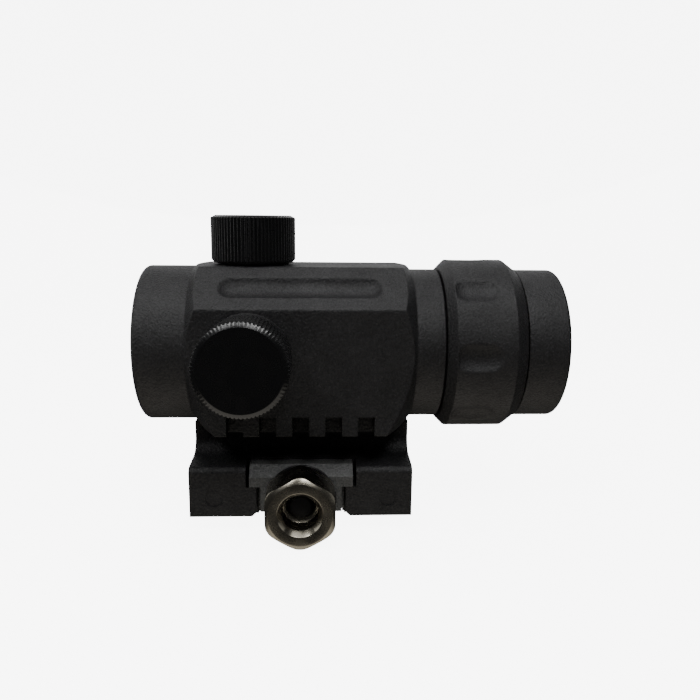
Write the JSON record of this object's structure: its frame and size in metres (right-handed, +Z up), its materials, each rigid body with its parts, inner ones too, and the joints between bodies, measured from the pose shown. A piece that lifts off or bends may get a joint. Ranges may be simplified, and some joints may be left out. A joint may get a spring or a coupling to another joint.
{
  "type": "red dot sight",
  "caption": "Compact tube red dot sight on a rail riser, with capped turrets, a turning brightness ring, a coin-slot battery cap and a nut-tightened side clamp.",
  "frame": {"origin": "centre of the seat that rests on the rail's top face, midway along the riser", "axes": "+X forward along the optical axis towards the objective, +Z up, -Y towards the side turret and the clamp nut"},
  "size_m": [0.0846, 0.0522, 0.0625],
  "materials": {
    "blasted_black": "matte black anodised over a fine blast",
    "satin_black": "satin black anodised",
    "blasted_grey": "blasted grey steel",
    "black_nickel": "black nickel plated, semi-gloss",
    "black_oxide": "black oxide",
    "spring_steel": "bright spring steel",
    "cell_steel": "bright plated steel",
    "brass": "turned brass",
    "rubber": "matte black rubber",
    "clear_glass": "clear, coated",
    "coated_glass": "red reflecting coating",
    "circuit_green": "solder mask over glass fibre board",
    "emitter_red": "clear red lens"
  },
  "bodies": {
    "housing": {"main_housing": "blasted_black", "rear_window": "clear_glass", "rear_retaining_ring": "satin_black", "objective_bell": "blasted_black", "objective_window": "coated_glass", "objective_retaining_ring": "satin_black", "ring_o_ring": "rubber", "click_spring": "spring_steel", "contact_board": "circuit_green", "gimbal_pin_left": "spring_steel", "gimbal_pin_right": "spring_steel", "return_spring": "spring_steel", "elevation_bush": "black_oxide", "windage_bush": "black_oxide", "elevation_o_ring": "rubber", "windage_o_ring": "rubber", "battery_o_ring": "rubber", "battery_contact": "spring_steel", "coin_cell": "cell_steel", "riser_base": "blasted_black", "riser_screw_front": "black_oxide", "riser_screw_rear": "black_oxide", "cross_bolt": "black_oxide"},
    "gimbal": {"gimbal_ring": "brass", "gimbal_pin_upper": "spring_steel", "gimbal_pin_lower": "spring_steel"},
    "collimator": {"inner_tube": "satin_black", "reflector_lens": "coated_glass", "reflector_ring": "satin_black", "led_holder": "satin_black", "led_emitter": "emitter_red"},
    "ring": {"brightness_ring": "blasted_black", "wiper_contact": "brass"},
    "elevation_dial": {"elevation_dial": "brass"},
    "elevation_plunger": {"elevation_plunger": "spring_steel"},
    "elevation_cap": {"elevation_cap": "satin_black"},
    "windage_dial": {"windage_dial": "brass"},
    "windage_plunger": {"windage_plunger": "spring_steel"},
    "windage_cap": {"windage_cap": "satin_black"},
    "battery_cap": {"battery_cap": "satin_black"},
    "jaw": {"clamp_jaw": "blasted_grey", "clamp_washer": "black_oxide"},
    "nut": {"clamp_nut": "black_nickel"}
  },
  "joints": [
    {"name": "brightness_turn", "type": "hinge", "parent": "housing", "child": "ring", "pos_m": [0.036, 0, 0.028], "axis": [1, 0, 0], "range_deg": [0, 300]},
    {"name": "elevation_cap_lift", "type": "slide", "parent": "housing", "child": "elevation_cap", "axis": [0, 0, 1], "range_m": [0, 0.014]},
    {"name": "windage_cap_lift", "type": "slide", "parent": "housing", "child": "windage_cap", "axis": [0, -1, 0], "range_m": [0, 0.014]},
    {"name": "battery_cap_lift", "type": "slide", "parent": "housing", "child": "battery_cap", "axis": [0, 1, 0], "range_m": [0, 0.012]},
    {"name": "elevation_dial_turn", "type": "hinge", "parent": "housing", "child": "elevation_dial", "pos_m": [-0.01, 0, 0.0475], "axis": [0, 0, 1], "range_deg": [-216, 216]},
    {"name": "windage_dial_turn", "type": "hinge", "parent": "housing", "child": "windage_dial", "pos_m": [-0.01, -0.022, 0.028], "axis": [0, -1, 0], "range_deg": [-216, 216]},
    {"name": "elevation_plunger_slide", "type": "slide", "parent": "housing", "child": "elevation_plunger", "axis": [0, 0, 1], "range_m": [-0.00032, 0.00032]},
    {"name": "windage_plunger_slide", "type": "slide", "parent": "housing", "child": "windage_plunger", "axis": [0, -1, 0], "range_m": [-0.00032, 0.00032]},
    {"name": "gimbal_tilt", "type": "hinge", "parent": "housing", "child": "gimbal", "pos_m": [0.019, 0, 0.028], "axis": [0, 1, 0], "range_deg": [-0.59, 0.59]},
    {"name": "inner_tube_yaw", "type": "hinge", "parent": "gimbal", "child": "collimator", "pos_m": [0.019, 0, 0.028], "axis": [0, 0, 1], "range_deg": [-0.59, 0.59]},
    {"name": "jaw_slide", "type": "slide", "parent": "housing", "child": "jaw", "axis": [0, -1, 0], "range_m": [0, 0.00305]},
    {"name": "nut_turn", "type": "hinge", "parent": "jaw", "child": "nut", "pos_m": [0, -0.019, -0.001], "axis": [0, -1, 0], "range_deg": [0, 1350]}
  ],
  "couplings": [
    {"joint": "elevation_dial_turn", "follows": "gimbal_tilt", "ratio": 364.42},
    {"joint": "elevation_plunger_slide", "follows": "gimbal_tilt", "m_per_rad": 0.029},
    {"joint": "windage_dial_turn", "follows": "inner_tube_yaw", "ratio": 364.42},
    {"joint": "windage_plunger_slide", "follows": "inner_tube_yaw", "m_per_rad": 0.029},
    {"joint": "jaw_slide", "follows": "nut_turn", "m_per_rad": 0.00012732}
  ]
}
